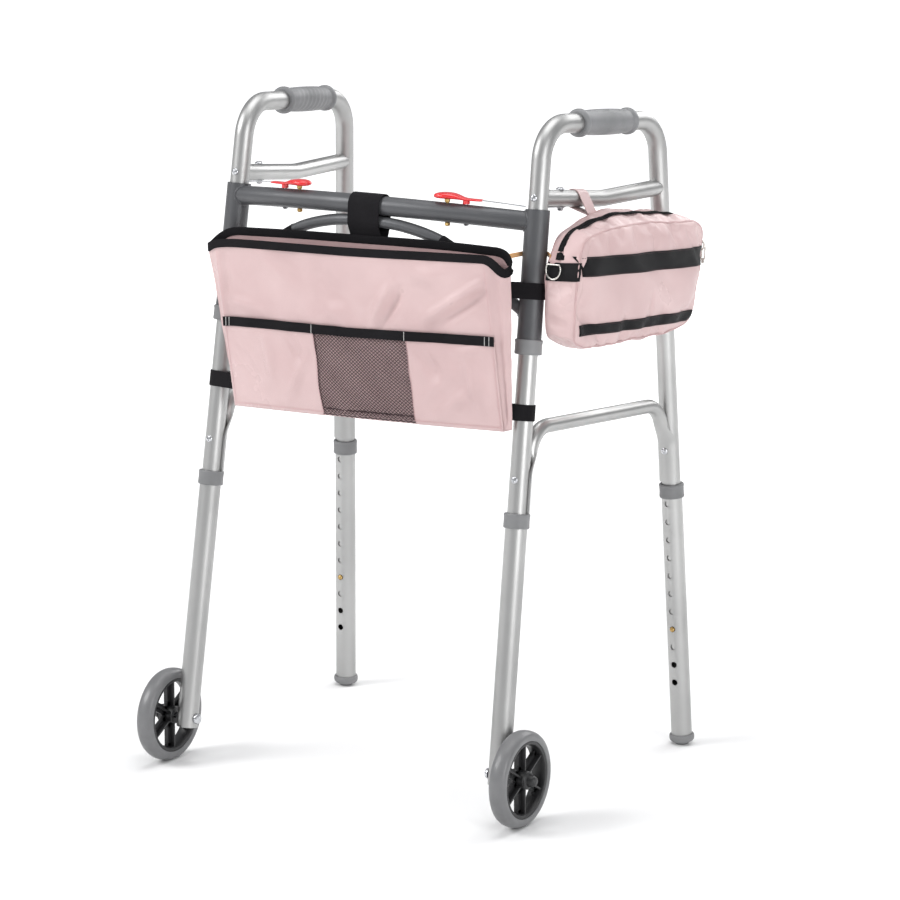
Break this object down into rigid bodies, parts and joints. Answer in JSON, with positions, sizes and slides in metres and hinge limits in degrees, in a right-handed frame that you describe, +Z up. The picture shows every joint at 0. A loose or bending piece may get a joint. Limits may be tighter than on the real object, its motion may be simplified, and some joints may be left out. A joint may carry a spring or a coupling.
{
  "type": "folding walking frame",
  "caption": "Folding walking frame with front wheels, height-adjustable legs, moulded grips, press releases, a hanging tote and a zipped side pouch.",
  "frame": {"origin": "on the floor, under the middle of the whole object", "axes": "+Z up; the front faces -Y and the user stands on the +Y side; +X is the side that carries the pouch"},
  "size_m": [0.6306, 0.5158, 0.9028],
  "materials": {
    "aluminium_tube": "satin silver anodised tube",
    "painted_steel": "satin charcoal powder coat",
    "grey_plastic": "moulded mid-grey plastic",
    "grip_vinyl": "moulded grey vinyl with finger ribs",
    "tip_rubber": "grey rubber",
    "tyre_rubber": "solid grey polyurethane tyre",
    "hub_plastic": "black moulded nylon",
    "zinc_steel": "bright zinc-plated steel",
    "spring_steel": "brushed spring steel",
    "brass": "yellow-passivated fastener",
    "red_plastic": "glossy red moulded plastic",
    "nylon_fabric": "pale pink satin nylon",
    "black_webbing": "black polypropylene webbing and binding"
  },
  "bodies": {
    "front_frame": {"cross_bar": "painted_steel", "arch_brace": "painted_steel", "left_sleeve": "painted_steel", "left_sleeve_collar": "grey_plastic", "left_paddle_bolt": "brass", "left_paddle_rivet": "spring_steel", "right_sleeve": "painted_steel", "right_sleeve_collar": "grey_plastic", "right_paddle_bolt": "brass", "right_paddle_rivet": "spring_steel", "tote_bag": "nylon_fabric", "tote_upper_left_strap": "black_webbing", "tote_lower_left_strap": "black_webbing", "tote_upper_right_strap": "black_webbing", "tote_lower_right_strap": "black_webbing", "tote_centre_strap": "black_webbing"},
    "left_side_frame": {"left_side_tube": "aluminium_tube", "left_grip": "grip_vinyl", "left_upper_brace": "aluminium_tube", "left_brace_bolt": "zinc_steel", "left_lower_brace": "aluminium_tube", "left_upper_screw": "zinc_steel", "left_lower_front_screw": "zinc_steel", "left_lower_rear_screw": "zinc_steel"},
    "left_release": {"left_release_paddle": "red_plastic", "left_latch_strip": "spring_steel"},
    "left_front_extension": {"left_front_leg": "aluminium_tube", "left_front_collar": "grey_plastic", "left_axle": "zinc_steel", "left_axle_nut": "hub_plastic"},
    "left_rear_extension": {"left_rear_leg": "aluminium_tube", "left_rear_collar": "grey_plastic", "left_rear_tip": "tip_rubber"},
    "left_wheel": {"left_tyre": "tyre_rubber", "left_hub": "hub_plastic"},
    "left_front_snap": {"left_front_button": "brass"},
    "left_rear_snap": {"left_rear_button": "brass"},
    "right_side_frame": {"right_side_tube": "aluminium_tube", "right_grip": "grip_vinyl", "right_upper_brace": "aluminium_tube", "right_brace_bolt": "zinc_steel", "right_lower_brace": "aluminium_tube", "right_upper_screw": "zinc_steel", "right_lower_front_screw": "zinc_steel", "right_lower_rear_screw": "zinc_steel", "side_pouch": "nylon_fabric", "pouch_hanging_loop": "nylon_fabric"},
    "right_release": {"right_release_paddle": "red_plastic", "right_latch_strip": "spring_steel"},
    "right_front_extension": {"right_front_leg": "aluminium_tube", "right_front_collar": "grey_plastic", "right_axle": "zinc_steel", "right_axle_nut": "hub_plastic"},
    "right_rear_extension": {"right_rear_leg": "aluminium_tube", "right_rear_collar": "grey_plastic", "right_rear_tip": "tip_rubber"},
    "right_wheel": {"right_tyre": "tyre_rubber", "right_hub": "hub_plastic"},
    "right_front_snap": {"right_front_button": "brass"},
    "right_rear_snap": {"right_rear_button": "brass"}
  },
  "joints": [
    {"name": "left_fold", "type": "hinge", "parent": "front_frame", "child": "left_side_frame", "pos_m": [-0.24499, -0.0764, 0.8], "axis": [0.0206, 0.1581, 0.9872], "range_deg": [-70, 0]},
    {"name": "left_front_leg_slide", "type": "slide", "parent": "left_side_frame", "child": "left_front_extension", "axis": [-0.0206, -0.1581, -0.9872], "range_m": [0, 0.1524]},
    {"name": "left_front_button_press", "type": "slide", "parent": "left_side_frame", "child": "left_front_snap", "axis": [0.0033, -0.9874, 0.1581], "range_m": [0, 0.004], "stiffness_N_per_m": 300, "springref_m": -0.002},
    {"name": "left_rear_leg_slide", "type": "slide", "parent": "left_side_frame", "child": "left_rear_extension", "axis": [-0.0352, 0.0463, -0.9983], "range_m": [0, 0.1524]},
    {"name": "left_rear_button_press", "type": "slide", "parent": "left_side_frame", "child": "left_rear_snap", "axis": [0.0016, 0.9989, 0.0463], "range_m": [0, 0.004], "stiffness_N_per_m": 300, "springref_m": -0.002},
    {"name": "left_wheel_roll", "type": "hinge", "parent": "left_front_extension", "child": "left_wheel", "pos_m": [-0.29135, -0.19439, 0.0635], "axis": [1, 0, 0], "continuous": true},
    {"name": "left_release_press", "type": "hinge", "parent": "front_frame", "child": "left_release", "pos_m": [-0.15339, -0.10394, 0.78609], "axis": [0.1634, 0.9866, 0], "range_deg": [0, 4], "stiffness_Nm_per_rad": 0.3, "springref_deg": -5.73},
    {"name": "right_fold", "type": "hinge", "parent": "front_frame", "child": "right_side_frame", "pos_m": [0.22021, -0.0764, 0.8], "axis": [-0.0206, 0.1581, 0.9872], "range_deg": [0, 70]},
    {"name": "right_front_leg_slide", "type": "slide", "parent": "right_side_frame", "child": "right_front_extension", "axis": [0.0206, -0.1581, -0.9872], "range_m": [0, 0.1524]},
    {"name": "right_front_button_press", "type": "slide", "parent": "right_side_frame", "child": "right_front_snap", "axis": [-0.0033, -0.9874, 0.1581], "range_m": [0, 0.004], "stiffness_N_per_m": 300, "springref_m": -0.002},
    {"name": "right_rear_leg_slide", "type": "slide", "parent": "right_side_frame", "child": "right_rear_extension", "axis": [0.0352, 0.0463, -0.9983], "range_m": [0, 0.1524]},
    {"name": "right_rear_button_press", "type": "slide", "parent": "right_side_frame", "child": "right_rear_snap", "axis": [-0.0016, 0.9989, 0.0463], "range_m": [0, 0.004], "stiffness_N_per_m": 300, "springref_m": -0.002},
    {"name": "right_wheel_roll", "type": "hinge", "parent": "right_front_extension", "child": "right_wheel", "pos_m": [0.26657, -0.19439, 0.0635], "axis": [1, 0, 0], "continuous": true},
    {"name": "right_release_press", "type": "hinge", "parent": "front_frame", "child": "right_release", "pos_m": [0.12861, -0.10394, 0.78609], "axis": [-0.1634, 0.9866, 0], "range_deg": [-4, 0], "stiffness_Nm_per_rad": 0.3, "springref_deg": 5.73}
  ]
}
